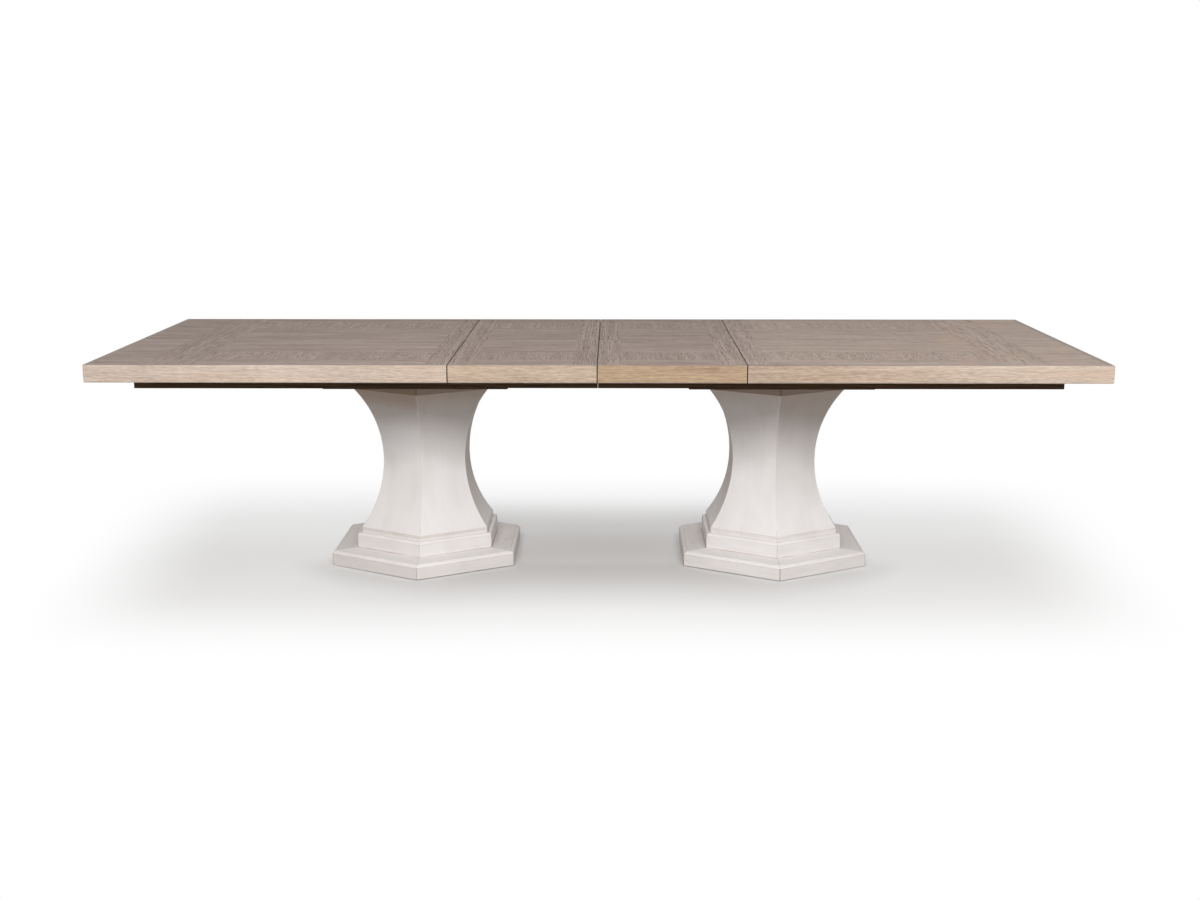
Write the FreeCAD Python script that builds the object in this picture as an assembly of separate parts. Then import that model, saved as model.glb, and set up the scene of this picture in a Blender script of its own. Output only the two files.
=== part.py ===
import FreeCAD, Part
import math
import os

# Extending dining table on two hexagonal pedestals, with both of its leaves in place.
# All lengths are millimetres. X runs along the table, Y from its front to its back, Z up.
# The origin is on the floor, under the middle of the top.

# Overall sizes
table_height = 760.0
table_depth = 1168.0
half_length = 1126.0
leaf_length = 463.0
edge_depth = 56.0
pedestal_offset = 604.0
slide_travel = 40.0

# Boards of the top
panel_thickness = 25.0
seam_gap = 1.0
lipping_thickness = 18.0
edge_foot_width = 52.0
upper_arris = 1.2
lower_arris = 3.0

# Dark aprons under the boards
apron_thickness = 20.0
apron_side_inset = 204.0
apron_end_inset = 90.0
half_apron_drop = 52.0
leaf_apron_drop = 50.0
apron_arris = 1.5
corner_block_leg = 52.0
corner_block_setback = 5.0

# Battens across the underside of the boards
batten_thickness = 19.0
batten_width = 60.0
batten_setback = 8.0
batten_arris = 3.0
cross_batten_share = 0.72

# Slides: fixed rails with a dovetailed groove, and runners with a dovetailed tongue
rail_height = 62.0
rail_width = 45.0
rail_end_clearance = 7.0
groove_depth = 12.0
groove_mouth = 18.0
groove_root = 26.0
running_clearance = 0.3
runner_width = 44.0
runner_lift = 2.0
runner_apron_gap = 70.7
stop_pin_radius = 5.0
stop_pin_inset = 20.0
stop_pin_setback = 1.0
tie_width = 70.0
tie_height = 44.0
tie_rise = 8.0

# Mounting plates between the pedestals and the rails
plate_length = 612.0
plate_side_overhang = 35.0
plate_thickness = 21.0
plate_arris = 2.0

# Pedestals, all hexagonal in plan with a corner to the front
plinth_circumradius = 360.0
plinth_height = 50.0
nose_width = 12.0
nose_drop = 11.0
nose_crown = 1.6
collar_height = 52.5
collar_ledge = 3.0
ovolo_width = 12.0
ovolo_height = 9.0
foot_band_height = 16.5
cap_thickness = 24.0
neck_half_width = 141.0
flare_radius = 405.0
waist_share = 0.485
hollow_half_width = 105.0
foot_block_height = 60.0
foot_block_clearance = 0.2

# Floor glides
glide_radius = 14.0
glide_height = 3.0
glide_place_share = 0.86

# Tie rods and their nuts and square washers
pin_clearance = 0.15
rod_radius = 6.0
rod_hole_clearance = 0.5
rod_stub = 3.0
nut_half_width = 9.5
nut_height = 10.0
washer_half_width = 15.0
washer_thickness = 3.0
recess_radius = 22.0
recess_depth = 20.0

# Pegs that locate the leaves on the fixed rails
peg_radius = 5.0
peg_socket = 12.0
peg_projection = 18.0
peg_hole_extra_depth = 2.0

# One overrun for every cut
overrun = 5.0

# Counts and directions
HEX_SIDES = 6
SIDE_NAMES = (("left", -1), ("right", 1))
FACE_NAMES = (("front", -1), ("back", 1))

# Heights, from the top down and from the floor up
panel_bottom = table_height - panel_thickness
edge_bottom = table_height - edge_depth
rail_top = panel_bottom - batten_thickness
plate_top = rail_top - rail_height
cap_top = plate_top - plate_thickness
column_top = cap_top - cap_thickness
plinth_top = glide_height + plinth_height
collar_top = plinth_top + collar_height
flare_bottom = collar_top + foot_band_height
flare_height = column_top - flare_bottom
waist_height = flare_bottom + waist_share * flare_height

# Places in plan
half_depth = table_depth / 2
half_start = leaf_length + seam_gap / 2
top_end = leaf_length + half_length
leaf_start = seam_gap / 2
leaf_end = leaf_length - seam_gap / 2
edge_width = lipping_thickness + edge_foot_width
apron_face = half_depth - apron_side_inset
apron_back = apron_face - apron_thickness
end_apron_face = top_end - apron_end_inset
end_apron_back = end_apron_face - apron_thickness
rail_reach = half_length - apron_end_inset - apron_thickness - rail_end_clearance
runner_outer = apron_back - runner_apron_gap
rail_outer = runner_outer - runner_width - running_clearance
rail_inner = rail_outer - rail_width
rail_offset = (rail_inner + rail_outer) / 2
groove_height = plate_top + rail_height / 2
stop_place = rail_reach - stop_pin_inset
runner_start = half_start + batten_setback
cross_batten_start = runner_start + cross_batten_share * (end_apron_back - runner_start)

# Hexagon sizes, as half widths across the flats
to_apothem = math.cos(math.pi / HEX_SIDES)
plinth_half_width = plinth_circumradius * to_apothem


def flare_half_width(height):
    """Half width of the column across its flats, on the concave face, at a height."""
    drop = height - waist_height
    return neck_half_width + flare_radius - math.sqrt(flare_radius ** 2 - drop ** 2)


foot_half_width = flare_half_width(flare_bottom)
cap_half_width = flare_half_width(column_top)
collar_half_width = foot_half_width + collar_ledge + ovolo_width


def vec(x, y, z):
    return FreeCAD.Vector(x, y, z)


def one_solid(shape):
    """The single solid of a cut, a join or an overlap, with split faces merged."""
    solids = shape.removeSplitter().Solids
    if len(solids) != 1:
        raise ValueError("expected one solid, found %d" % len(solids))
    return solids[0]


def block(x_range, y_range, z_range):
    """A box between two corners."""
    size = [high - low for low, high in (x_range, y_range, z_range)]
    corner = vec(x_range[0], y_range[0], z_range[0])
    return Part.makeBox(size[0], size[1], size[2], corner)


def prism(points, direction):
    """A straight prism on a closed outline of points."""
    outline = Part.makePolygon(points + [points[0]])
    return Part.Face(outline).extrude(direction)


def lower_edges_eased(bar, size):
    """Chamfer the two lower edges that run along a bar."""
    box = bar.BoundBox
    length = max(box.XLength, box.YLength)
    long_edges = [edge for edge in bar.Edges if edge.Length > length / 2]
    lower = [edge for edge in long_edges if edge.BoundBox.ZMax < (box.ZMin + box.ZMax) / 2]
    return bar.makeChamfer(size, lower)


def mirrored_x(shape):
    return shape.mirror(vec(0, 0, 0), vec(1, 0, 0))


def mirrored_y(shape):
    return shape.mirror(vec(0, 0, 0), vec(0, 1, 0))


def on_side(shape, side):
    """A shape made for the right end (side 1), or its mirror image for the left (-1)."""
    return shape if side > 0 else mirrored_x(shape)


def on_face(shape, face):
    """A shape made for the back (face 1), or its mirror image for the front (-1)."""
    return shape if face > 0 else mirrored_y(shape)


# Boards: every edge strip and panel is cut from one eased outline of its board

def eased_board(x_start, x_end, outer_end):
    """The whole board, seam to seam or seam to end, with its arrises eased."""
    board = block((x_start, x_end), (-half_depth, half_depth), (edge_bottom, table_height))
    soft = [edge for edge in board.Edges if is_lower_edge(edge, x_end, outer_end)]
    board = board.makeChamfer(lower_arris, soft)
    middle = (edge_bottom + table_height) / 2
    crisp = [edge for edge in board.Edges if edge.BoundBox.ZMax > middle]
    return board.makeChamfer(upper_arris, crisp)


def is_lower_edge(edge, x_end, outer_end):
    """True for a bottom edge on the front, the back or the open end of a board."""
    box = edge.BoundBox
    middle_x = (box.XMin + box.XMax) / 2
    middle_y = (box.YMin + box.YMax) / 2
    if box.ZMax > edge_bottom + lower_arris:
        return False
    at_side = abs(middle_y) > half_depth - lower_arris
    at_end = outer_end and middle_x > x_end - lower_arris
    return at_side or at_end


def edge_section(across, outer, inward):
    """Rebated section of an edge strip: a lipping with a foot under the panel."""
    rebate = outer + inward * lipping_thickness
    back = outer + inward * edge_width
    corners = ((outer, edge_bottom), (back, edge_bottom), (back, panel_bottom))
    corners += ((rebate, panel_bottom), (rebate, table_height), (outer, table_height))
    return [across(place, height) for place, height in corners]


def side_strip(x_start, x_end, mitred):
    """Edge strip along the back of a board, mitred at its outer end on a half."""
    section = edge_section(lambda y, z: vec(x_start, y, z), half_depth, -1)
    strip = prism(section, vec(x_end - x_start, 0, 0))
    if not mitred:
        return strip
    plan = [vec(x_start, half_depth, edge_bottom), vec(x_end, half_depth, edge_bottom),
            vec(x_end - edge_width, half_depth - edge_width, edge_bottom),
            vec(x_start, half_depth - edge_width, edge_bottom)]
    return strip.common(prism(plan, vec(0, 0, edge_depth)))


def end_strip():
    """Edge strip along the outer end of a half, mitred at both ends."""
    section = edge_section(lambda x, z: vec(x, -half_depth, z), top_end, -1)
    strip = prism(section, vec(0, table_depth, 0))
    inner = half_depth - edge_width
    plan = [vec(top_end, -half_depth, edge_bottom), vec(top_end, half_depth, edge_bottom),
            vec(top_end - edge_width, inner, edge_bottom),
            vec(top_end - edge_width, -inner, edge_bottom)]
    return strip.common(prism(plan, vec(0, 0, edge_depth)))


def panel(x_start, x_end):
    """Veneered panel that lies in the rebates of the edge strips."""
    reach = half_depth - lipping_thickness
    return block((x_start, x_end), (-reach, reach), (panel_bottom, table_height))


# Aprons

def side_apron(x_start, x_end, drop):
    """Dark board under the panel, along the back."""
    bar = block((x_start, x_end), (apron_back, apron_face), (edge_bottom - drop, panel_bottom))
    return lower_edges_eased(bar, apron_arris)


def end_apron():
    """Dark board under the panel, between the side aprons at the outer end."""
    bottom = edge_bottom - half_apron_drop
    bar = block((end_apron_back, end_apron_face), (-apron_back, apron_back), (bottom, panel_bottom))
    return lower_edges_eased(bar, apron_arris)


def corner_block():
    """Triangular glue block in the back corner between the end apron and the side apron."""
    base = edge_bottom - half_apron_drop + corner_block_setback
    corner = vec(end_apron_back, apron_back, base)
    points = [corner, corner - vec(corner_block_leg, 0, 0), corner - vec(0, corner_block_leg, 0)]
    return prism(points, vec(0, 0, panel_bottom - base))


# Battens and pegs

def batten(x_start, underside):
    """Cross batten from apron to apron, its lower long edges eased."""
    bar = block((x_start, x_start + batten_width), (-apron_back, apron_back),
                (underside, panel_bottom))
    return lower_edges_eased(bar, batten_arris)


def leaf_batten_starts():
    """Lower X of the inner and the outer batten of the right leaf."""
    inner = leaf_start + batten_setback
    outer = leaf_end - batten_setback - batten_width
    return inner, outer


def peg(x, y):
    """Dowel peg glued in a leaf's batten, its lower end in the fixed rail."""
    return Part.makeCylinder(peg_radius, peg_socket + peg_projection,
                             vec(x, y, rail_top - peg_projection))


def peg_places():
    """Pegs of the right leaf, over the middle of each rail."""
    centres = [start + batten_width / 2 for start in leaf_batten_starts()]
    return [(x, y) for x in centres for y in (-rail_offset, rail_offset)]


# Slides

def dovetail(y_face, depth, mouth, root, x_start, x_end):
    """Dovetailed bar along X, its narrow side at y_face and its wide side inward of it."""
    y_root = y_face - depth
    points = [vec(x_start, y_face, groove_height - mouth / 2),
              vec(x_start, y_face, groove_height + mouth / 2),
              vec(x_start, y_root, groove_height + root / 2),
              vec(x_start, y_root, groove_height - root / 2)]
    return prism(points, vec(x_end - x_start, 0, 0))


def groove_widening(depth):
    """How much wider the dovetail gets over a depth."""
    return (groove_root - groove_mouth) * depth / groove_depth


def fixed_rail():
    """Back fixed rail: full-length dovetailed groove outside, holes for pegs and stops."""
    rail = block((-rail_reach, rail_reach), (rail_inner, rail_outer), (plate_top, rail_top))
    run = rail_reach + overrun
    mouth = groove_mouth - groove_widening(overrun)
    groove = dovetail(rail_outer + overrun, groove_depth + overrun, mouth, groove_root, -run, run)
    holes = [groove] + rail_holes()
    return one_solid(rail.cut(holes))


def rail_holes():
    """Peg and stop pin holes of the back rail."""
    holes = []
    for side in (-1, 1):
        for x, y in peg_places():
            if y > 0:
                holes.append(peg_hole(side * x, y))
        holes.append(stop_hole(side * stop_place))
    return holes


def peg_hole(x, y):
    depth = peg_projection + peg_hole_extra_depth
    radius = peg_radius + running_clearance
    return Part.makeCylinder(radius, depth + overrun, vec(x, y, rail_top - depth))


def stop_hole(x):
    radius = stop_pin_radius + pin_clearance
    start = vec(x, rail_inner - overrun, groove_height)
    return Part.makeCylinder(radius, rail_width + overrun, start, vec(0, 1, 0))


def stop_pin(x):
    """Dowel through the back rail that closes the groove to the runner's tongue."""
    length = rail_width - stop_pin_setback
    return Part.makeCylinder(stop_pin_radius, length, vec(x, rail_inner, groove_height),
                             vec(0, 1, 0))


def runner():
    """Right runner beside the back rail: a bar with a dovetailed tongue on its inner part."""
    face = rail_outer + running_clearance
    bar = block((runner_start, end_apron_back), (face, runner_outer),
                (plate_top + runner_lift, rail_top + running_clearance))
    tongue_end = stop_place - stop_pin_radius - slide_travel - running_clearance
    depth = groove_depth - running_clearance
    mouth = groove_mouth - 2 * running_clearance - groove_widening(running_clearance)
    root = groove_root - 2 * running_clearance - groove_widening(running_clearance)
    tongue = dovetail(face, depth, mouth, root, runner_start, tongue_end)
    return one_solid(bar.fuse(tongue))


def centre_tie():
    """Cross piece that holds the two fixed rails apart at the middle of the table."""
    base = plate_top + tie_rise
    return block((-tie_width / 2, tie_width / 2), (-rail_inner, rail_inner),
                 (base, base + tie_height))


# Mounting plates

def mounting_plate():
    """Dark board over the right pedestal that the fixed rails stand on."""
    x = pedestal_offset
    half_plate = rail_outer + plate_side_overhang
    board = block((x - plate_length / 2, x + plate_length / 2),
                  (-half_plate, half_plate), (cap_top, plate_top))
    sides = [edge for edge in board.Edges if edge.BoundBox.ZLength < plate_thickness / 2]
    board = board.makeChamfer(plate_arris, sides)
    return one_solid(board.cut(rod_hole(cap_top, plate_top)))


# Pedestal

def hexagon_prism(half_width, height, base):
    """Hexagonal prism with two of its corners on the Y axis."""
    radius = half_width / to_apothem
    points = []
    for index in range(HEX_SIDES):
        angle = math.pi / 2 + index * 2 * math.pi / HEX_SIDES
        points.append(base + vec(radius * math.cos(angle), radius * math.sin(angle), 0))
    return prism(points, vec(0, 0, height))


def mitred_sides(profile_edges):
    """The six mitred parts that one upright profile, drawn in X and Z, makes round a pedestal."""
    face = Part.Face(Part.Wire(profile_edges))
    reach = face.BoundBox.XMax
    half = (reach + overrun) * math.tan(math.pi / HEX_SIDES)
    bar = face.extrude(vec(0, 2 * half, 0))
    bar.translate(vec(0, -half, 0))
    low = face.BoundBox.ZMin - overrun
    corners = [vec(0, 0, low), vec(reach + overrun, -half, low), vec(reach + overrun, half, low)]
    wedge = prism(corners, vec(0, 0, face.BoundBox.ZLength + 2 * overrun))
    first = one_solid(bar.common(wedge))
    sides = []
    for index in range(HEX_SIDES):
        side = first.copy()
        side.rotate(vec(0, 0, 0), vec(0, 0, 1), index * 360 / HEX_SIDES)
        side.translate(vec(pedestal_offset, 0, 0))
        sides.append(side)
    return sides


def line(start, end):
    """Straight stretch of a profile; its points are (half width, height)."""
    return Part.LineSegment(vec(start[0], 0, start[1]), vec(end[0], 0, end[1])).toShape()


def arc(start, middle, end):
    """Curved stretch of a profile through three points."""
    points = [vec(place, 0, height) for place, height in (start, middle, end)]
    return Part.Arc(points[0], points[1], points[2]).toShape()


def rod_hole(low, high):
    radius = rod_radius + rod_hole_clearance
    return Part.makeCylinder(radius, high - low + 2 * overrun, vec(pedestal_offset, 0, low - overrun))


def plinth():
    """Right plinth: a thick hexagonal board with a bevelled, slightly crowned nose."""
    inner = (plinth_half_width - nose_width, plinth_top)
    outer = (plinth_half_width, plinth_top - nose_drop)
    bevel = math.hypot(nose_width, nose_drop)
    middle = ((inner[0] + outer[0]) / 2 + nose_crown * nose_drop / bevel,
              (inner[1] + outer[1]) / 2 + nose_crown * nose_width / bevel)
    foot = (plinth_half_width, glide_height)
    edges = [line((0, glide_height), foot), line(foot, outer), arc(outer, middle, inner),
             line(inner, (0, plinth_top)), line((0, plinth_top), (0, glide_height))]
    sides = mitred_sides(edges)
    board = sides[0].multiFuse(sides[1:])
    recess = Part.makeCylinder(recess_radius, recess_depth + overrun,
                               vec(pedestal_offset, 0, glide_height - overrun))
    return one_solid(board.removeSplitter().cut([recess, rod_hole(glide_height, plinth_top)]))


def collar():
    """Right collar: the hexagonal board under the column, with a quarter-round upper edge."""
    shoulder = collar_top - ovolo_height
    ledge = collar_half_width - ovolo_width
    outer = (collar_half_width, shoulder)
    inner = (ledge, collar_top)
    turn = math.cos(math.pi / 4)
    middle = (ledge + ovolo_width * turn, shoulder + ovolo_height * turn)
    foot = (collar_half_width, plinth_top)
    edges = [line((0, plinth_top), foot), line(foot, outer), arc(outer, middle, inner),
             line(inner, (0, collar_top)), line((0, collar_top), (0, plinth_top))]
    sides = mitred_sides(edges)
    board = sides[0].multiFuse(sides[1:])
    return one_solid(board.removeSplitter().cut(rod_hole(plinth_top, collar_top)))


def column():
    """Right column: six mitred staves, each sawn to one concave face, round a hexagonal core."""
    foot = (foot_half_width, collar_top)
    band = (foot_half_width, flare_bottom)
    neck = (neck_half_width, waist_height)
    lip = (cap_half_width, column_top)
    core_top = (hollow_half_width, column_top)
    core_foot = (hollow_half_width, collar_top)
    edges = [line(core_foot, foot), line(foot, band), arc(band, neck, lip),
             line(lip, core_top), line(core_top, core_foot)]
    return Part.makeCompound(mitred_sides(edges))


def cap():
    """Right cap: the square-edged hexagonal board on top of the column."""
    board = hexagon_prism(cap_half_width, cap_thickness, vec(pedestal_offset, 0, column_top))
    return one_solid(board.cut(rod_hole(column_top, cap_top)))


def foot_block():
    """Hexagonal block glued inside the foot of the right column."""
    half_width = hollow_half_width - foot_block_clearance
    body = hexagon_prism(half_width, foot_block_height, vec(pedestal_offset, 0, collar_top))
    return one_solid(body.cut(rod_hole(collar_top, collar_top + foot_block_height)))


def washer(base):
    x_range = (base.x - washer_half_width, base.x + washer_half_width)
    y_range = (base.y - washer_half_width, base.y + washer_half_width)
    plate = block(x_range, y_range, (base.z, base.z + washer_thickness))
    return plate.cut(Part.makeCylinder(rod_radius + pin_clearance, washer_thickness, base))


def nut(base):
    body = hexagon_prism(nut_half_width, nut_height, base)
    return body.cut(Part.makeCylinder(rod_radius + pin_clearance, nut_height, base))


def tie_rod():
    """Threaded rod that clamps the right pedestal to its plate, with nuts and washers."""
    x = pedestal_offset
    lower_seat = glide_height + recess_depth
    lower_nut = lower_seat - washer_thickness - nut_height
    upper_nut = plate_top + washer_thickness
    start = lower_nut - rod_stub
    length = upper_nut + nut_height + rod_stub - start
    rod = Part.makeCylinder(rod_radius, length, vec(x, 0, start))
    washers = [washer(vec(x, 0, lower_seat - washer_thickness)), washer(vec(x, 0, plate_top))]
    nuts = [nut(vec(x, 0, lower_nut)), nut(vec(x, 0, upper_nut))]
    return [rod] + washers + nuts


def glides():
    """Six glides under the right plinth, one by each corner."""
    reach = glide_place_share * plinth_circumradius
    parts = []
    for index in range(HEX_SIDES):
        angle = math.pi / 2 + index * 2 * math.pi / HEX_SIDES
        base = vec(pedestal_offset + reach * math.cos(angle), reach * math.sin(angle), 0)
        parts.append(Part.makeCylinder(glide_radius, glide_height, base))
    return parts


# Assemblies

def both_sides(solids):
    """Solids made for the right end, with their mirror images at the left."""
    return Part.makeCompound(solids + [mirrored_x(solid) for solid in solids])


def pedestal_nodes(side, name):
    return {
        name + "_plinth": on_side(plinth(), side),
        name + "_collar": on_side(collar(), side),
        name + "_column": on_side(column(), side),
        name + "_cap": on_side(cap(), side),
        name + "_foot_block": on_side(foot_block(), side),
        name + "_mounting_plate": on_side(mounting_plate(), side),
    }


def frame_nodes():
    stops = [stop_pin(stop_place), mirrored_y(stop_pin(stop_place))]
    nodes = {
        "centre_tie": centre_tie(),
        "stop_pins": both_sides(stops),
        "tie_rods": both_sides(tie_rod()),
        "floor_glides": both_sides(glides()),
    }
    for face_name, face in FACE_NAMES:
        nodes[face_name + "_fixed_rail"] = on_face(fixed_rail(), face)
    return nodes


def half_nodes(side, name):
    """One half of the top, with its edge strips, aprons, corner blocks, battens and runners."""
    outline = eased_board(half_start, top_end, True)
    underside = rail_top + running_clearance
    board = panel(half_start, top_end - lipping_thickness)
    blocks = [corner_block(), mirrored_y(corner_block())]
    pieces = {
        "panel": one_solid(board.common(outline)),
        "end_edge": one_solid(end_strip().common(outline)),
        "end_apron": end_apron(),
        "corner_blocks": Part.makeCompound(blocks),
        "seam_batten": batten(runner_start, underside),
        "cross_batten": batten(cross_batten_start, underside),
    }
    for face_name, face in FACE_NAMES:
        strip = side_strip(half_start, top_end, True).common(outline)
        pieces[face_name + "_edge"] = on_face(one_solid(strip), face)
        apron = side_apron(half_start, end_apron_face, half_apron_drop)
        pieces[face_name + "_apron"] = on_face(apron, face)
        pieces[face_name + "_runner"] = on_face(runner(), face)
    return {name + "_" + piece: on_side(shape, side) for piece, shape in pieces.items()}


def leaf_nodes(side, name):
    """One removable leaf, with its edge strips, aprons, battens and pegs."""
    outline = eased_board(leaf_start, leaf_end, False)
    sockets = [socket(x, y) for x, y in peg_places()]
    inner, outer = leaf_batten_starts()
    board = panel(leaf_start, leaf_end)
    pieces = {
        "panel": one_solid(board.common(outline)),
        "inner_batten": one_solid(batten(inner, rail_top).cut(sockets)),
        "outer_batten": one_solid(batten(outer, rail_top).cut(sockets)),
    }
    for face_name, face in FACE_NAMES:
        strip = side_strip(leaf_start, leaf_end, False).common(outline)
        pieces[face_name + "_edge"] = on_face(one_solid(strip), face)
        apron = side_apron(leaf_start, leaf_end, leaf_apron_drop)
        pieces[face_name + "_apron"] = on_face(apron, face)
    nodes = {name + "_leaf_" + piece: on_side(shape, side) for piece, shape in pieces.items()}
    pegs = [peg(x, y) for x, y in peg_places()]
    nodes[name + "_leaf_pegs"] = on_side(Part.makeCompound(pegs), side)
    return nodes


def socket(x, y):
    """Blind hole for a peg in the underside of a leaf's batten."""
    radius = peg_radius + pin_clearance
    return Part.makeCylinder(radius, peg_socket + overrun, vec(x, y, rail_top - overrun))


def all_nodes():
    nodes = frame_nodes()
    for name, side in SIDE_NAMES:
        nodes.update(pedestal_nodes(side, name))
        nodes.update(half_nodes(side, name))
        nodes.update(leaf_nodes(side, name))
    return nodes


def main():
    os.makedirs("parts", exist_ok=True)
    for node, shape in all_nodes().items():
        if not shape.isValid():
            raise ValueError("not a valid shape: " + node)
        shape.exportStep("parts/" + node + ".step")


main()
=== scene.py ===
import bpy
import bmesh
import math
from mathutils import Matrix, Vector


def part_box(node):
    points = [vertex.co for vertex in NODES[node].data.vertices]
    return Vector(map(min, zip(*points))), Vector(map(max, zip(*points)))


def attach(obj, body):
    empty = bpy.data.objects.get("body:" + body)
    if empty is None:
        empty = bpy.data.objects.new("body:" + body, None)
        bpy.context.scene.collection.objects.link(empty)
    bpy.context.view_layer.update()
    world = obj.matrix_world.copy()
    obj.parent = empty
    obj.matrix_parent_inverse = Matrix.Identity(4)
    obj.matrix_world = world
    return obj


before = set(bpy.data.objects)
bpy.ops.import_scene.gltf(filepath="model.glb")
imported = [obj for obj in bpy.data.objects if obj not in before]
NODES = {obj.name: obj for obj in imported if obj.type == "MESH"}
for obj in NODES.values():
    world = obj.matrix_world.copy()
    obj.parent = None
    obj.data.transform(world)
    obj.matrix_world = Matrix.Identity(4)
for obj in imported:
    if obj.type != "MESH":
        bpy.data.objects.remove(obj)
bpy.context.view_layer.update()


# Small helpers that build node materials from arithmetic

MIX_COLOUR_INPUTS = (0, 6, 7)       # factor and the two colours of a Mix node set to colour
MIX_COLOUR_OUTPUT = 2


class Signal:
    """A value on its way through a material. Arithmetic on it adds math nodes."""

    def __init__(self, graph, socket):
        self.graph = graph
        self.socket = socket

    def __add__(self, other):
        return self.graph.math("ADD", self, other)

    def __radd__(self, other):
        return self.graph.math("ADD", other, self)

    def __sub__(self, other):
        return self.graph.math("SUBTRACT", self, other)

    def __rsub__(self, other):
        return self.graph.math("SUBTRACT", other, self)

    def __mul__(self, other):
        return self.graph.math("MULTIPLY", self, other)

    def __truediv__(self, other):
        return self.graph.math("DIVIDE", self, other)

    def __gt__(self, other):
        return self.graph.math("GREATER_THAN", self, other)

    def __lt__(self, other):
        return self.graph.math("LESS_THAN", self, other)

    def __abs__(self):
        return self.graph.math("ABSOLUTE", self)

    def clamped(self):
        return self.graph.math("ADD", self, 0.0, clamp=True)

    def power(self, exponent):
        return self.graph.math("POWER", self, exponent)

    def larger(self, other):
        return self.graph.math("MAXIMUM", self, other)

    def floored(self):
        return self.graph.math("FLOOR", self)

    def waves(self):
        """A wave between 0 and 1, once for each whole number."""
        return self.graph.math("SINE", self * (2 * math.pi)) * 0.5 + 0.5

    def ramp(self, low, high):
        """0 below low, 1 above high, smooth between them."""
        return self.graph.smooth(self, low, high)

    def near(self, place, width):
        """1 at a place, fading to 0 at a distance of width from it."""
        return 1.0 - self.graph.smooth(abs(self - place), 0.0, width)


class Graph:
    """One material and its nodes."""

    def __init__(self, name):
        self.material = bpy.data.materials.new(name)
        self.material.use_nodes = True
        self.tree = self.material.node_tree
        self.tree.nodes.clear()

    def node(self, kind, **settings):
        made = self.tree.nodes.new(kind)
        for key, value in settings.items():
            setattr(made, key, value)
        return made

    def feed(self, socket, value):
        if isinstance(value, Signal):
            self.tree.links.new(value.socket, socket)
        else:
            socket.default_value = value

    def math(self, operation, *values, clamp=False):
        made = self.node("ShaderNodeMath", operation=operation, use_clamp=clamp)
        for socket, value in zip(made.inputs, values):
            self.feed(socket, value)
        return Signal(self, made.outputs[0])

    def smooth(self, value, low, high):
        made = self.node("ShaderNodeMapRange", interpolation_type="SMOOTHSTEP")
        self.feed(made.inputs["Value"], value)
        self.feed(made.inputs["From Min"], low)
        self.feed(made.inputs["From Max"], high)
        return Signal(self, made.outputs[0])

    def vector(self, x, y, z):
        made = self.node("ShaderNodeCombineXYZ")
        for socket, value in zip(made.inputs, (x, y, z)):
            self.feed(socket, value)
        return Signal(self, made.outputs[0])

    def split(self, vector):
        made = self.node("ShaderNodeSeparateXYZ")
        self.feed(made.inputs[0], vector)
        return [Signal(self, made.outputs[index]) for index in range(3)]

    def place(self):
        """X, Y and Z of the surface at rest, in metres."""
        made = self.node("ShaderNodeTexCoord")
        return self.split(Signal(self, made.outputs["Object"]))

    def noise(self, vector, detail=2.0, roughness=0.5):
        """Noise with cells of about 1 across in the vector given."""
        made = self.node("ShaderNodeTexNoise")
        self.feed(made.inputs["Vector"], vector)
        for key, value in (("Scale", 1.0), ("Detail", detail), ("Roughness", roughness)):
            self.feed(made.inputs[key], value)
        return Signal(self, made.outputs[0])

    def chance(self, number):
        """Three random values that depend on a whole number."""
        made = self.node("ShaderNodeTexWhiteNoise", noise_dimensions="1D")
        self.feed(made.inputs["W"], number)
        return self.split(Signal(self, made.outputs["Color"]))

    def blend(self, factor, first, second):
        """Colour between two colours."""
        made = self.node("ShaderNodeMix", data_type="RGBA")
        for index, value in zip(MIX_COLOUR_INPUTS, (factor, first, second)):
            self.feed(made.inputs[index], value)
        return Signal(self, made.outputs[MIX_COLOUR_OUTPUT])

    def bump(self, height, strength, distance):
        made = self.node("ShaderNodeBump")
        for key, value in (("Strength", strength), ("Distance", distance), ("Height", height)):
            self.feed(made.inputs[key], value)
        return Signal(self, made.outputs[0])

    def finish(self, colour, roughness, normal, **settings):
        """The surface shader; settings are constants on its own sockets."""
        shader = self.node("ShaderNodeBsdfPrincipled")
        self.feed(shader.inputs["Base Color"], colour)
        self.feed(shader.inputs["Roughness"], roughness)
        self.feed(shader.inputs["Normal"], normal)
        for key, value in settings.items():
            shader.inputs[key.replace("_", " ")].default_value = value
        output = self.node("ShaderNodeOutputMaterial")
        self.tree.links.new(shader.outputs[0], output.inputs["Surface"])
        return self.material


def linear(red, green, blue):
    """A colour written as display values from 0 to 255."""
    values = []
    for part in (red, green, blue):
        part = part / 255
        values.append(part / 12.92 if part <= 0.04045 else ((part + 0.055) / 1.055) ** 2.4)
    return (values[0], values[1], values[2], 1.0)


# Places on the table that the materials go by, in metres from the middle and from the floor

SEAM = 0.463
SEAMS = (-SEAM, 0.0, SEAM)
TABLE_TOP = 0.760
EDGE_FOOT = 0.704
PEDESTAL_X = 0.604
COLUMN_TOP = 0.609
PLINTH_TOP = 0.053
PLINTH_NOSE = (0.004, 0.043)
COLLAR_FACE = (0.055, 0.104)
COLUMN_FOOT_BAND = 0.1165


# Solid wood

RINGS = 95.0                        # growth lines to the metre
FIGURE = 0.2                        # share of the growth lines in the tone


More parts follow.
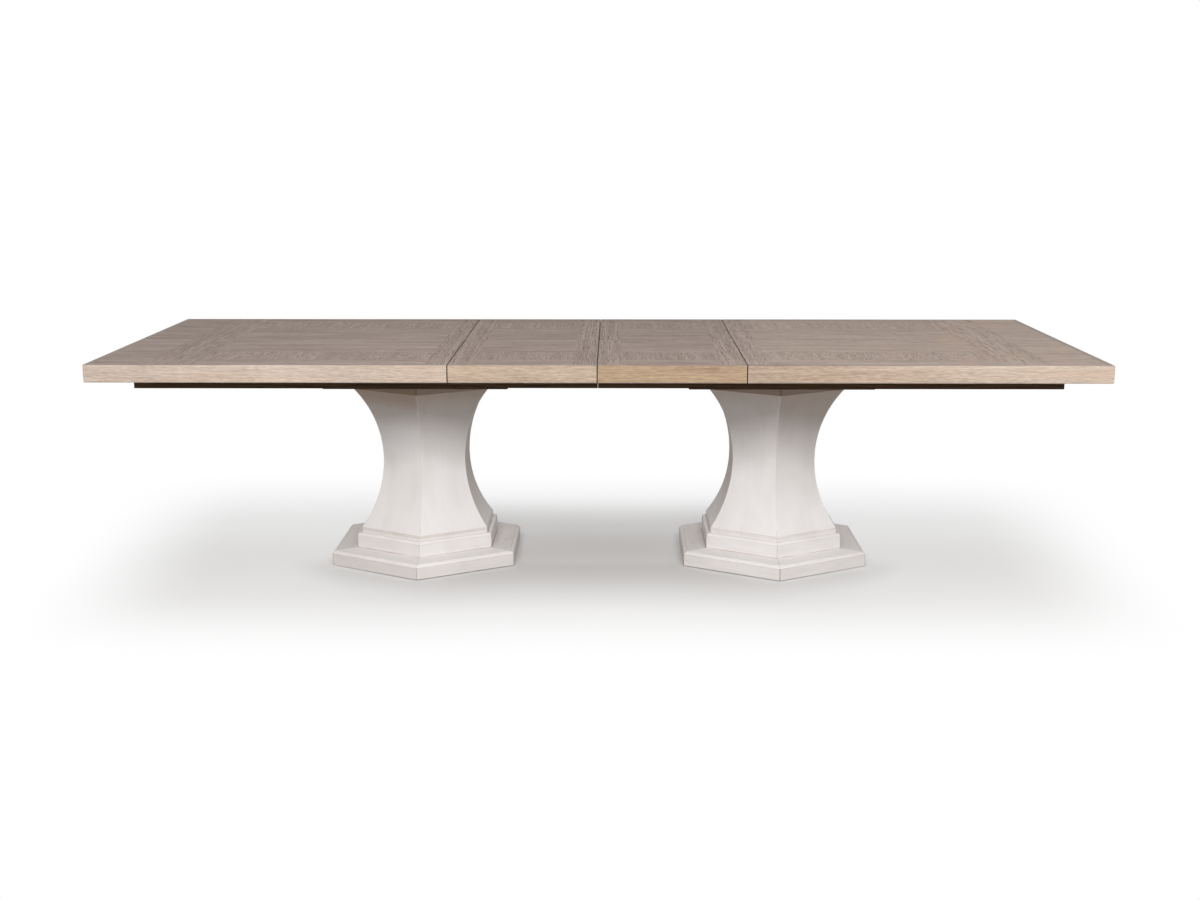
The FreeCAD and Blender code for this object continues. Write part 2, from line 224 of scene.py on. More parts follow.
def oak_grain(graph, along, across, up):
    """Oak figure as values from 0 to 1: tone, dark open streaks and fibre."""
    def cells(lengthwise, crosswise, detail, roughness=0.5):
        """Noise of so many cells to the metre along the grain and across it."""
        spot = graph.vector(along * lengthwise, across * crosswise, up * crosswise)
        return graph.noise(spot, detail, roughness)

    bend = cells(1.4, 9.0, 3.0) - 0.5
    late = (across * RINGS + bend * 9.0).waves().power(1.8)
    fibre = cells(11.0, 420.0, 3.0, 0.65)
    vein = cells(5.0, 170.0, 3.0, 0.6)
    broad = cells(1.6, 22.0, 3.0)
    dashes = cells(50.0, 1000.0, 1.0)
    pores = dashes.ramp(0.5, 0.68) * (late * 0.7 + 0.3)
    open_grain = vein.ramp(0.46, 0.72) * (late * 0.6 + 0.4)
    tone = broad * 0.3 + fibre * 0.36 + (1.0 - vein) * 0.34
    tone = tone * (1.0 - FIGURE) + (1.0 - late) * FIGURE
    return tone, open_grain * 0.6 + pores * 0.4, fibre


def wood(name, colours, turn, roughness, level=0.3):
    """Solid wood; turn orders X, Y and Z as along, across and up the grain."""
    dark, light, pore = colours
    graph = Graph(name)
    spot = graph.place()
    along, across, up = [spot[axis] for axis in turn]
    tone, pores, fibre = oak_grain(graph, along, across + up, up)
    colour = graph.blend(tone.ramp(0.32, 0.66), dark, light)
    colour = graph.blend(pores * 0.5, colour, pore)
    normal = graph.bump(fibre * 0.5 - pores, 0.35, 0.0006)
    rough = roughness + (fibre - 0.5) * 0.16 + pores * 0.1
    return graph.finish(colour, rough, normal, Specular_IOR_Level=level)


# Washed oak of the top: veneer and edge strips

VENEER_DARK = linear(112, 97, 89)
VENEER_LIGHT = linear(180, 163, 153)
VENEER_PORE = linear(80, 66, 58)
VENEER_WARM = linear(190, 164, 138)
VENEER_FLUSH = linear(196, 160, 134)
SEAM_DARK = linear(70, 58, 50)
SEAM_ARRIS = 0.0018                 # how far the dark of a seam reaches on each side of it, as painted shade of the gap between the boards

# Where the bands of the veneer begin and end, as distances from the middle lines of the top
END_STRIP_FROM = 1.408
END_BAND_FROM = 1.253
SEAM_BAND = (0.388, 0.535)
MIDDLE_BAND_TO = 0.076
SIDE_STRIP_FROM = 0.470
CROSS_BAND_FROM = 0.300
BAND_LINE = 0.0008                  # reach of the fine dark line where two bands meet
PLANK_LINE = 0.0007                 # and where two planks meet

# Width of the planks in a field, and what the bands add to it: the seam and end bands are one
# plank each, because what they add is more than the whole top
PLANK_WIDTH = 0.16
CROSS_BAND_WIDER = -0.05
SIDE_STRIP_WIDER = 0.1
ONE_PLANK = 5.0


def streaks(graph, along, across, up, length, width, detail=2.0):
    """Noise drawn out along the grain, in cells of a given length and width in metres."""
    cells = graph.vector(along / length, across / width, up / width)
    return graph.noise(cells, detail, 0.6)


def veneer_bands(x, y):
    """Masks for the bands of the top: strips lie along their edge, bands across the grain."""
    far = abs(x)
    side = abs(y)
    end_strip = far > END_STRIP_FROM
    end_band = (far > END_BAND_FROM) * (1.0 - end_strip)
    seam_band = (far > SEAM_BAND[0]) * (far < SEAM_BAND[1]) + (far < MIDDLE_BAND_TO)
    inner = 1.0 - (end_strip + end_band + seam_band).clamped()
    side_strip = inner * (side > SIDE_STRIP_FROM)
    cross_band = inner * (side > CROSS_BAND_FROM) * (side < SIDE_STRIP_FROM)
    return end_strip, end_band, seam_band, side_strip, cross_band


def board_number(x):
    """0 to 3 for the four boards of the top, from left to right."""
    return (x > SEAMS[0]) + (x > SEAMS[1]) + (x > SEAMS[2])


def seam_stain_and_shade(x):
    """1 on the mating faces at the seams, which are stained dark, and on the arrises beside them,
    where the dark is painted shade of the gap between the boards.
    """
    left, centre, right = [abs(x - seam) < SEAM_ARRIS for seam in SEAMS]
    return left + centre + right


def top_veneer():
    """Grey-brown washed oak veneer laid in bands, with planks of their own tone, and painted light
    and shade from front to back.
    """
    graph = Graph("top_veneer")
    x, y, z = graph.place()
    far = abs(x)
    end_strip, end_band, seam_band, side_strip, cross_band = veneer_bands(x, y)
    straight = seam_band + end_band
    turned = (cross_band + straight).clamped()
    along = x + (y - x) * turned
    across = y + (x - y) * turned

    # Each plank draws its own luck: the steps keep the numbers of all planks apart
    width = PLANK_WIDTH + cross_band * CROSS_BAND_WIDER + side_strip * SIDE_STRIP_WIDER
    width = width + straight * ONE_PLANK
    plank = (across / width + 100.0).floored()
    number = plank + board_number(x) * 17.0 + (y > 0.0) * turned * 41.0
    for band, step in ((cross_band, 211.0), (side_strip, 307.0), (seam_band, 401.0),
                       (end_band, 503.0), (end_strip, 601.0)):
        number = number + band * step
    luck = graph.chance(number)

    straight = straight.clamped()
    run = (along + luck[0] * 9.0) * (1.0 - straight * 0.6)
    row = across + luck[1] * 3.0
    narrow = row * (1.0 + turned * 1.9)
    broad = streaks(graph, run, narrow, luck[2], 0.36, 0.036)
    middle = streaks(graph, run, narrow, luck[2], 0.11, 0.013, 3.0)
    pores = streaks(graph, run, row, luck[2], 0.028, 0.0030, 1.0).ramp(0.52, 0.68)
    bend = streaks(graph, run, row, luck[2], 0.5, 0.11) - 0.5
    waves = (row * (60.0 + turned * 84.0) + bend * (5.0 - straight * 3.0)).waves()
    late = waves.power(1.6)
    figure = 0.04 + turned * 0.08 + seam_band * 0.11
    tone = (broad - 0.5) * 0.9 + (middle - 0.5) * 1.1 + 0.5 - (late - 0.4) * figure

    right = x.ramp(0.36, 0.68)
    # Painted light and shade from front to back: the back strip darker, the front strip and the
    # front cross bands of the halves lighter
    back = y.ramp(0.44, 0.56) * (far < END_BAND_FROM)
    front_strip = y < -SIDE_STRIP_FROM
    front_cross = cross_band * (y < 0.0) * (far > SEAM_BAND[1])
    shade = tone + luck[2] * 0.12 - 0.05
    for place, share in ((end_band, -0.05), (front_strip, 0.08), (back, -0.22), (right, 0.20),
                         (x > END_BAND_FROM, 0.14), (far < SEAM, -0.04), (front_cross, 0.07)):
        shade = shade + place * share
    colour = graph.blend(shade.clamped(), VENEER_DARK, VENEER_LIGHT)
    colour = graph.blend(right * 0.07 + 0.05, colour, VENEER_WARM)
    flush = graph.noise(graph.vector(x * 7.0, y * 4.0, 0.5)).ramp(0.50, 0.68)
    colour = graph.blend(flush * x.ramp(0.70, 1.15) * 0.22, colour, VENEER_FLUSH)
    colour = graph.blend(pores * (0.25 + turned * 0.30), colour, VENEER_PORE)

    joint = abs(graph.math("FRACT", across / width + 100.5) - 0.5) * width
    plank_lines = (1.0 - joint.ramp(0.0, PLANK_LINE)) * 0.3
    band_lines = far.near(END_STRIP_FROM, BAND_LINE) + far.near(END_BAND_FROM, BAND_LINE)
    lines = plank_lines + band_lines.clamped() * 0.4
    colour = graph.blend(lines.clamped(), colour, VENEER_PORE)
    colour = graph.blend(seam_stain_and_shade(x), colour, SEAM_DARK)
    normal = graph.bump(middle * 0.6 - pores * 0.6 - late * 0.2, 0.3, 0.0005)
    rough = 0.58 + (middle - 0.5) * 0.16 + pores * 0.12
    return graph.finish(colour, rough, normal, Specular_IOR_Level=0.15)


EDGE_THREAD = linear(158, 126, 98)
EDGE_WARM = linear(210, 174, 142)
EDGE_PALE = linear(236, 226, 218)
EDGE_HIGHLIGHT = linear(250, 238, 226)


def edge_oak(name, tones, turn, lightening=0.0):
    """Edge strip: light on its upright faces, washed like the veneer on top, with a painted
    highlight along its lower arris.
    """
    graph = Graph(name)
    spot = graph.place()
    x, y, z = spot
    along, across, up = [spot[axis] for axis in turn]
    board = board_number(x)
    run = along + board * 3.7
    rise = up + across + along * 0.012
    broad = streaks(graph, run, rise, board, 0.30, 0.016)
    middle = streaks(graph, run, rise, board, 0.095, 0.0050, 3.0)
    fine = streaks(graph, run, rise, board, 0.024, 0.0026)
    bend = streaks(graph, run, rise, board, 0.40, 0.060) - 0.5
    thread = (rise * 85.0 + bend * 5.0).waves().power(5.0) * broad.ramp(0.38, 0.62)
    tone = 0.455 + (broad - 0.5) * 0.8 + (middle - 0.5) * 1.1 + (fine - 0.5) * 1.45
    tone = tone + (abs(x).ramp(0.5, 1.45) - 0.3) * lightening
    right_leaf = (x > 0.0) * (x < SEAM)
    tone = tone + x.near(-1.0, 0.24) * 0.12 - right_leaf * 0.05

    face = graph.blend(tone.clamped(), *tones)
    face = graph.blend(thread * 0.30, face, EDGE_THREAD)
    warmth = graph.noise(graph.vector(run * 2.2, rise * 16.0, board))
    face = graph.blend(warmth.ramp(0.42, 0.66) * 0.12, face, EDGE_WARM)
    upper = z.ramp(TABLE_TOP - 0.022, TABLE_TOP - 0.003)
    outward = abs(x).ramp(0.60, 1.05)
    face = graph.blend(upper * outward * 0.12, face, EDGE_PALE)
    # Painted highlight along the lower arris
    lower_arris_highlight = 1.0 - z.ramp(EDGE_FOOT + 0.0005, EDGE_FOOT + 0.0045)
    face = graph.blend(lower_arris_highlight * 0.35, face, EDGE_HIGHLIGHT)
    washed = graph.blend(tone.clamped(), VENEER_DARK, VENEER_LIGHT)
    washed = graph.blend(thread * 0.3, washed, VENEER_PORE)
    on_top = z.ramp(TABLE_TOP - 0.0010, TABLE_TOP - 0.0005)
    colour = graph.blend(on_top, face, washed)
    colour = graph.blend(seam_stain_and_shade(x), colour, SEAM_DARK)
    normal = graph.bump(middle * 0.5 + fine * 0.4 - thread, 0.3, 0.0005)
    rough = 0.54 + (middle - 0.5) * 0.16 + thread * 0.1
    return graph.finish(colour, rough, normal, Specular_IOR_Level=0.2)


# Brushed white paint on the pedestals

PAINT = linear(236, 233, 232)
PAINT_GLAZE_AND_SHADE = linear(209, 203, 200)
PAINT_SHADE = linear(165, 140, 118)
PAINT_WORN = linear(160, 132, 108)
SIXTH = math.pi / 3
GLAZE_LINES = (
    # distance out from the middle to the flat, height, width, strength
    (0.2320, 0.0530, 0.0030, 0.9),
    (0.2200, 0.1055, 0.0030, 0.7),
    (0.2170, 0.1220, 0.0026, 0.45),
    (0.2320, 0.0965, 0.0018, 0.3),
    (0.2998, 0.0530, 0.0022, 0.5),
    (0.3118, 0.0420, 0.0022, 0.45),
    (0.2280, 0.6090, 0.0030, 0.6),
)
FRONT_SHADES = (
    # front face of a column, side of the table, from and to which height, share of painted shade
    ("outer", "left", 0.53, 0.59, 0.30),
    ("outer", "right", 0.44, 0.50, 0.10),
    ("inner", "left", 0.57, 0.60, 0.12),
    ("inner", "right", 0.48, 0.54, -0.14),
)


def white_paint(name, upright):
    """Antique white paint, brushed along the piece, rubbed at its arrises, with painted shade and
    light.
    """
    graph = Graph(name)
    x, y, z = graph.place()

    # The six faces: turn is 0 on the one to the table's end, and 3 or -3 on the one to the
    # middle. Along runs across a face, out is the distance of its plane from the pedestal's
    # middle line, and corner is the distance to the next arris
    from_pedestal = abs(x) - PEDESTAL_X
    angle = graph.math("ARCTAN2", y, from_pedestal)
    turn = graph.math("ROUND", angle / SIXTH)
    slant = angle - turn * SIXTH
    reach = graph.math("SQRT", from_pedestal * from_pedestal + y * y)
    along = reach * graph.math("SINE", slant)
    out = reach * graph.math("COSINE", slant)
    corner = out * math.tan(SIXTH / 2) - abs(along)
    right = x > 0.0
    left = 1.0 - right
    side = turn * 7.3 + right * 50.0
    frontal = (turn < -0.5) * (turn > -2.5)
    below_cap = z < COLUMN_TOP
    on_cap = z > COLUMN_TOP
    faces = {"outer": frontal * (turn > -1.5) * below_cap,
             "inner": frontal * (turn < -1.5) * below_cap}
    halves = {"left": left, "right": right}

    # Brush marks and the thin glaze in them, with painted shade and light on parts of the column
    # and plinth
    if upright:
        stroke = graph.vector(along * 260.0, z * 5.0, side)
        soft = graph.vector(along * 16.0, z * 5.0, side)
    else:
        stroke = graph.vector(along * 9.0, z * 330.0 + out * 240.0, side)
        soft = graph.vector(along * 7.0, z * 60.0 + out * 40.0, side)
    bristle = graph.noise(stroke, 3.0, 0.65)
    cloud = graph.noise(soft, 3.0)
    patch = graph.noise(graph.vector(x * 9.0, y * 9.0, z * 9.0), 3.0)
    glaze_and_shade = bristle.ramp(0.4, 0.8) * 0.15 + cloud.ramp(0.4, 0.8) * 0.2 + patch.ramp(0.4, 0.8) * 0.2
    # Painted shade: greyer and warmer towards the top of the column, under the table top
    glaze_and_shade = glaze_and_shade + z.ramp(0.36, 0.60) * 0.3 + z.ramp(0.54, 0.63) * 0.4
    # Greyer below the collar's round, and more below the plinth's bevel, less so on the right
    # plinth
    below_round = 1.0 - z.ramp(0.094, 0.099)
    below_bevel = 1.0 - z.ramp(0.040, 0.043)
    glaze_and_shade = glaze_and_shade + below_round * 0.16 + below_bevel * (0.26 - right * 0.10)
    # Painted shade on the side parts of the plinth's top, painted light on its two front parts
    ledge = (z > PLINTH_TOP - 0.0005) * (z < PLINTH_TOP + 0.0005)
    glaze_and_shade = glaze_and_shade + ledge * (0.35 - frontal * 0.85)
    # Painted shade on the outer side of the right column
    right_outer_shade = (x > PEDESTAL_X) * z.ramp(0.14, 0.36) * (1.0 - z.ramp(0.46, 0.60))
    glaze_and_shade = glaze_and_shade + right_outer_shade * 0.42
    # Lighter about the middle of the left column's outer front face
    glaze_and_shade = glaze_and_shade - faces["outer"] * left * z.near(0.445, 0.09) * 0.45
    colour = graph.blend(glaze_and_shade.clamped(), PAINT, PAINT_GLAZE_AND_SHADE)

    # Painted shade under the top, on the faces to the middle of the table, on the outer side of
    # the left pedestal and on the upper front faces, with a painted highlight along the front
    # arrises
    painted_shade = z.ramp(0.45, COLUMN_TOP) * 0.42 + on_cap * 0.3
    painted_shade = painted_shade + (abs(turn) > 2.5) * z.ramp(0.07, 0.38) * 0.62
    left_outer_shade = (1.0 - z.ramp(0.30, 0.46)) * 0.06 + on_cap * 0.14
    painted_shade = painted_shade + (x < -PEDESTAL_X) * left_outer_shade
    for face, half, begin, end, share in FRONT_SHADES:
        painted_shade = painted_shade + faces[face] * halves[half] * z.ramp(begin, end) * share
    # Painted highlight along the front arrises of the column, in its upper part
    front_arris_highlight = (1.0 - corner.ramp(0.001, 0.006)) * frontal * below_cap
    painted_shade = painted_shade - front_arris_highlight * z.ramp(0.42, 0.58) * 0.16
    colour = graph.blend(painted_shade.clamped(), colour, PAINT_SHADE)

    # Wear on the arrises, and glaze that has settled in the corners of the profile
    rub = graph.noise(graph.vector(along * 40.0, z * 26.0, side + 3.0), 3.0)
    worn = (1.0 - corner.ramp(0.0003, 0.0030)) * rub.ramp(0.42, 0.68)
    worn = worn * (1.0 - z.ramp(0.13, 0.17) * below_cap * 0.85)
    on_nose = (z > PLINTH_NOSE[0]) * (z < PLINTH_NOSE[1])
    on_collar = (z > COLLAR_FACE[0]) * (z < COLLAR_FACE[1])
    low = on_nose * (1.0 - corner.ramp(0.0010, 0.0034)) * (right * 0.45 + 0.35)
    low = low + on_collar * (1.0 - corner.ramp(0.0008, 0.0028)) * (right * 0.15 + 0.15)
    low = low + on_cap * (1.0 - corner.ramp(0.0026, 0.0046)) * 0.9
    settled = None
    for flat, height, width, strength in GLAZE_LINES:
        gap_out = out - flat
        gap_up = z - height
        gap = graph.math("SQRT", gap_out * gap_out + gap_up * gap_up)
        line = (1.0 - gap.ramp(width * 0.25, width)) * strength
        settled = line if settled is None else settled.larger(line)
    streak = graph.noise(graph.vector(along * 22.0, z * 60.0, side + 9.0))
    settled = settled * (streak.ramp(0.3, 0.65) * 0.6 + 0.4) * (1.2 - frontal * 0.2)
    # A tan band just under the foot of the flare, paler on the right pedestal
    band = z.near(COLUMN_FOOT_BAND, 0.0065) * (streak * 0.3 + 0.12) * (1.0 - right * 0.5)
    stain = worn * 0.5 + settled * 0.7 + band + low * (rub * 0.8 + 0.5)
    colour = graph.blend(stain.clamped(), colour, PAINT_WORN)
    normal = graph.bump(bristle + patch * 0.5, 0.2, 0.0004)
    rough = 0.52 + (bristle - 0.5) * 0.2 + worn * 0.15
    return graph.finish(colour, rough, normal, Specular_IOR_Level=0.2)


# Metal and plastic

def metal(name, colour):
    graph = Graph(name)
    x, y, z = graph.place()
    grain = graph.noise(graph.vector(x * 900.0, y * 900.0, z * 260.0))
    tint = graph.blend(grain.ramp(0.3, 0.7), colour, linear(176, 176, 180))
    return graph.finish(tint, 0.32 + grain * 0.16, graph.bump(grain, 0.12, 0.0002), Metallic=1.0)


def plastic(name, colour):
    graph = Graph(name)
    x, y, z = graph.place()
    grain = graph.noise(graph.vector(x * 700.0, y * 700.0, z * 700.0))
    tint = graph.blend(grain.ramp(0.3, 0.7), colour, linear(70, 66, 62))
    return graph.finish(tint, 0.5 + grain * 0.2, graph.bump(grain, 0.2, 0.0002))


# Which finish goes on which node; a grain is the order of axes along, across and up

X_GRAIN = (0, 1, 2)
Y_GRAIN = (1, 0, 2)
Z_GRAIN = (2, 0, 1)
DARK_STAIN = (linear(57, 42, 26), linear(86, 65, 44), linear(38, 27, 16))
HARDWOOD = (linear(150, 118, 84), linear(196, 164, 126), linear(104, 76, 50))

LEFT_HALF_TONES = (linear(163, 145, 131), linear(223, 207, 194))
RIGHT_HALF_TONES = (linear(148, 129, 113), linear(210, 192, 176))
LEFT_LEAF_TONES = (linear(154, 135, 117), linear(212, 193, 175))
RIGHT_LEAF_TONES = (linear(144, 121, 98), linear(197, 173, 147))
VENEER = top_veneer()
EDGE_OAK = {
    # by the start of the node's name; the ends and leaves come before the halves
    "left_end": edge_oak("left_end_edge_oak", LEFT_HALF_TONES, Y_GRAIN),
    "right_end": edge_oak("right_end_edge_oak", LEFT_HALF_TONES, Y_GRAIN),
    "left_leaf": edge_oak("left_leaf_edge_oak", LEFT_LEAF_TONES, X_GRAIN),
    "right_leaf": edge_oak("right_leaf_edge_oak", RIGHT_LEAF_TONES, X_GRAIN),
    "left": edge_oak("left_edge_oak", LEFT_HALF_TONES, X_GRAIN),
    "right": edge_oak("right_edge_oak", RIGHT_HALF_TONES, X_GRAIN, 0.5),
}
DARK_X = wood("dark_stain_along", DARK_STAIN, X_GRAIN, 0.55, 0.12)
DARK_Y = wood("dark_stain_across", DARK_STAIN, Y_GRAIN, 0.55, 0.12)
BARE_X = wood("hardwood_along", HARDWOOD, X_GRAIN, 0.6)
BARE_Y = wood("hardwood_across", HARDWOOD, Y_GRAIN, 0.6)
BARE_Z = wood("hardwood_upright", HARDWOOD, Z_GRAIN, 0.6)
PAINT_UP = white_paint("white_paint_column", True)
PAINT_FLAT = white_paint("white_paint_boards", False)
STEEL = metal("zinc_steel", linear(150, 150, 156))
GLIDE = plastic("dark_nylon", linear(46, 43, 40))

FINISHES = (
    ("_panel", VENEER), ("_end_apron", DARK_Y),
    ("_apron", DARK_X), ("_mounting_plate", DARK_Y), ("_column", PAINT_UP),
    ("_collar", PAINT_FLAT), ("_plinth", PAINT_FLAT), ("_cap", PAINT_FLAT),
    ("tie_rods", STEEL), ("floor_glides", GLIDE), ("_fixed_rail", BARE_X), ("_runner", BARE_X),
    ("_batten", BARE_Y), ("centre_tie", BARE_Y), ("_pegs", BARE_Z), ("stop_pins", BARE_Y),
    ("_foot_block", BARE_Z), ("_corner_blocks", BARE_Z),
)


def finish_of(name):
    if name.endswith("_edge"):
        for start, material in EDGE_OAK.items():
            if name.startswith(start):
                return material
    for ending, material in FINISHES:
        if name.endswith(ending):
            return material
    raise ValueError(name)


for name, node in NODES.items():
    node.data.materials.clear()
    node.data.materials.append(finish_of(name))


def add_object(name, data):
    made = bpy.data.objects.new(name, data)
    bpy.context.scene.collection.objects.link(made)
    return made


# Fasteners, seen from underneath; a profile is pairs of radius and distance below the face

SCREW_PROFILE = ((0.0046, 0.0), (0.0046, 0.0007), (0.0041, 0.0014), (0.0031, 0.0018))
RECESS_ARM = 0.0023
RECESS_HALF_WIDTH = 0.0006
RECESS_DEPTH = 0.0012
WASHER_PROFILE = ((0.0110, 0.0), (0.0110, 0.0012), (0.0106, 0.0016))
HEAD_PROFILE = ((0.0075, 0.0), (0.0075, 0.0046), (0.0067, 0.0053))
SCREW_SIDES = 20
WASHER_SIDES = 28
HEAD_SIDES = 6


def loop_of(bm, points, height):
    return [bm.verts.new((x, y, height)) for x, y in points]


def circle(x, y, radius, count):
    turns = [2 * math.pi * index / count for index in range(count)]
    return [(x + radius * math.cos(turn), y + radius * math.sin(turn)) for turn in turns]


def cross(x, y):
    """Outline of a cross recess."""
    arm = RECESS_ARM
    half = RECESS_HALF_WIDTH
    quarter = ((arm, -half), (arm, half), (half, half))
    points = []
    for across, along in ((1, 0), (0, 1), (-1, 0), (0, -1)):
        for out, aside in quarter:
            points.append((x + out * across - aside * along, y + out * along + aside * across))
    return points


def bridge(bm, first, second):
    for index, corner in enumerate(first):
        after = (index + 1) % len(first)
        bm.faces.new((corner, first[after], second[after], second[index]))


def rim(bm, loop):
    return [bm.edges.get((corner, loop[index - 1])) for index, corner in enumerate(loop)]


def turned_head(bm, x, y, under, profile, count):
    """Stepped disc that hangs under a face; gives back its lowest loop and height."""
    loops = [loop_of(bm, circle(x, y, radius, count), under - drop) for radius, drop in profile]
    for first, second in zip(loops, loops[1:]):
        bridge(bm, first, second)
    return loops[-1], under - profile[-1][1]


def screw(bm, x, y, under):
    """Raised screw head with a cross recess."""
    loop, low = turned_head(bm, x, y, under, SCREW_PROFILE, SCREW_SIDES)
    mouth = loop_of(bm, cross(x, y), low)
    bottom = loop_of(bm, cross(x, y), low + RECESS_DEPTH)
    bridge(bm, mouth, bottom)
    bm.faces.new(bottom)
    bmesh.ops.triangle_fill(bm, use_beauty=True, edges=rim(bm, loop) + rim(bm, mouth))


def bolt(bm, x, y, under):
    """Hexagon head on a round washer."""
    loop, low = turned_head(bm, x, y, under, WASHER_PROFILE, WASHER_SIDES)
    bm.faces.new(loop)
    head, low = turned_head(bm, x, y, low, HEAD_PROFILE, HEAD_SIDES)
    bm.faces.new(head)


def fasteners(name, body, places, make):
    """One piece with a screw or bolt at each place, which rides on a body."""
    bm = bmesh.new()
    for x, y, under in places:
        make(bm, x, y, under)
    bmesh.ops.recalc_face_normals(bm, faces=bm.faces)
    mesh = bpy.data.meshes.new(name)
    bm.to_mesh(mesh)
    bm.free()
    mesh.materials.append(STEEL)
    made = add_object(name, mesh)
    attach(made, body)


SCREW_ROWS = (-0.335, -0.150, -0.070, 0.070, 0.150, 0.335)
RUNNER_SHARES = (0.03, 0.20, 0.37, 0.54)
RUNNER_ROW = 0.60                   # place across a runner, from its inner side
BOLT_INSET = 0.038


def batten_screws(node):
    """In a row along the middle of a batten, up into the top."""
    low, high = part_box(node)
    x = (low[0] + high[0]) / 2
    return [(x, y, low[2]) for y in SCREW_ROWS]


def runner_screws(node):
    """Along the outer part of a runner, clear of the rail and of the mounting plate."""
    low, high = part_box(node)
    outward, end = (-1, low[0]) if low[0] < 0 else (1, high[0])
    inner, outer = (low[1], high[1]) if low[1] > 0 else (high[1], low[1])
    y = inner * (1 - RUNNER_ROW) + outer * RUNNER_ROW
    length = high[0] - low[0]
    return [(end - outward * length * share, y, low[2]) for share in RUNNER_SHARES]


def plate_bolts(node):
    """Near the corners of a mounting plate, under the fixed rails."""
    low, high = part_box(node)
    rail_low, rail_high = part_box("back_fixed_rail")
    row = (rail_low[1] + rail_high[1]) / 2
    ends = (low[0] + BOLT_INSET, high[0] - BOLT_INSET)
    return [(x, y, low[2]) for x in ends for y in (-row, row)]


for side in ("left", "right"):
    top_places = batten_screws(side + "_seam_batten") + batten_screws(side + "_cross_batten")
    top_places += runner_screws(side + "_front_runner") + runner_screws(side + "_back_runner")
    fasteners(side + "_top_screws", side + "_top", top_places, screw)
    leaf_places = batten_screws(side + "_leaf_inner_batten")
    leaf_places += batten_screws(side + "_leaf_outer_batten")
    fasteners(side + "_leaf_screws", side + "_leaf", leaf_places, screw)
    fasteners(side + "_plate_bolts", "base", plate_bolts(side + "_mounting_plate"), bolt)


# Stage: pale floor, white surroundings, soft light, camera

FLOOR_REACH = 40.0
FLOOR_WHITE = 0.35                  # share of plain white over the whole shadow
SHADOW_MIDDLE = (0.02, -0.40)
SHADOW_LEAN = 0.11                  # how much shorter it gets with each metre to the front
SHADOW_END = (1.34, 1.92)           # from where to where it fades out along the table
SHADOW_BACK = 1.70                  # how far it reaches behind its middle
SHADOW_FRONT = 0.74                 # and before it


def floor_material():
    """Pale matt floor with the shadow, passing to plain white round about for the camera."""
    graph = Graph("pale_floor")
    x, y, z = graph.place()
    front = 0.0 - y
    path = graph.node("ShaderNodeLightPath")
    seen = Signal(graph, path.outputs["Is Camera Ray"])
    seen = seen.larger(Signal(graph, path.outputs["Is Glossy Ray"]))
    seen = seen.larger(Signal(graph, path.outputs["Is Transmission Ray"]))

    # The floor itself, with a painted shadow a little darker before the pedestals
    speck = graph.noise(graph.vector(x * 3.0, y * 3.0, z), 3.0)
    shade = graph.blend(speck, linear(226, 225, 224), linear(232, 231, 230))
    contact_shadow = (1.0 - abs(x).ramp(0.60, 1.15)) * front.ramp(0.11, 0.20)
    contact_shadow = contact_shadow * (1.0 - front.ramp(0.25, 0.52))
    shade = graph.blend(contact_shadow * 0.32, shade, linear(190, 189, 188))
    shade = graph.blend(seen, linear(190, 186, 182), shade)
    diffuse = graph.node("ShaderNodeBsdfDiffuse")
    graph.feed(diffuse.inputs["Color"], shade)

    # How much plain white lies over it: least between the pedestals and at their feet
    past_end = (abs(x - SHADOW_MIDDLE[0]) - y * SHADOW_LEAN).ramp(*SHADOW_END)
    behind = (y - SHADOW_MIDDLE[1]) / SHADOW_BACK
    before = (SHADOW_MIDDLE[1] - y) / SHADOW_FRONT
    past_side = behind.larger(before).ramp(0.0, 1.0)
    shaded = (1.0 - past_end) * (1.0 - past_side) * (1.0 - FLOOR_WHITE)
    between = (1.0 - abs(x).ramp(0.45, 0.92)) * y.ramp(-0.70, -0.32) * (1.0 - y.ramp(-0.12, 0.88))
    beside = abs(x) - PEDESTAL_X
    foot = 1.0 - graph.math("SQRT", beside * beside + y * y).ramp(0.34, 0.52)
    foot = foot * front.ramp(0.05, 0.28)
    plain = (1.0 - shaded) * (1.0 - between) * (1.0 - foot * 0.68) * seen
    glow = graph.node("ShaderNodeEmission")
    glow.inputs["Color"].default_value = (1.0, 1.0, 1.0, 1.0)
    glow.inputs["Strength"].default_value = 1.0
    both = graph.node("ShaderNodeMixShader")
    graph.feed(both.inputs[0], plain)
    graph.tree.links.new(diffuse.outputs[0], both.inputs[1])
    graph.tree.links.new(glow.outputs[0], both.inputs[2])
    output = graph.node("ShaderNodeOutputMaterial")
    graph.tree.links.new(both.outputs[0], output.inputs["Surface"])
    return graph.material


def add_floor():
    corners = [(across * FLOOR_REACH, along * FLOOR_REACH, 0.0)
               for across, along in ((-1, -1), (1, -1), (1, 1), (-1, 1))]
    mesh = bpy.data.meshes.new("floor")
    mesh.from_pydata(corners, [], [(0, 1, 2, 3)])
    mesh.materials.append(floor_material())
    return add_object("floor", mesh)


floor = add_floor()


